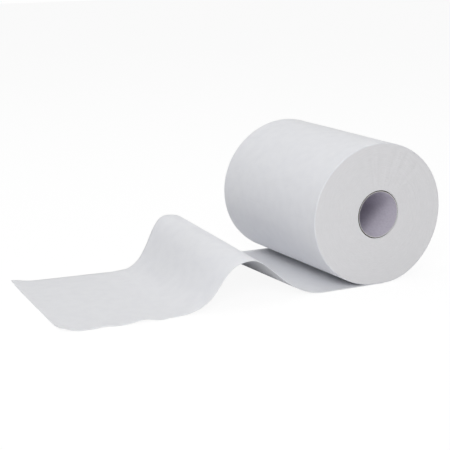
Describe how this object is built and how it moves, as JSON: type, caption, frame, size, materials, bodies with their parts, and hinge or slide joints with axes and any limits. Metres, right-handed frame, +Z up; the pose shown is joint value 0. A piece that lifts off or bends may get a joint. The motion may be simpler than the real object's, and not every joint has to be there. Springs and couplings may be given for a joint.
{
  "type": "paper towel roll",
  "caption": "Wound roll of paper towel on a board core, lying on its side, with the free end of the web pulled out over a hump and laid flat.",
  "frame": {"origin": "on the axis of the core's bore, midway along the roll", "axes": "+Y along the roll's axis from its front end to its back end, +Z up from the surface it lies on, the free end of the web lies towards -X"},
  "size_m": [0.4157, 0.1927, 0.1444],
  "materials": {
    "towel_paper": "soft matt, finely creped",
    "core_board": "matt grey-brown board"
  },
  "bodies": {
    "root": {"core_tube": "core_board", "towel_web": "towel_paper"}
  },
  "joints": []
}
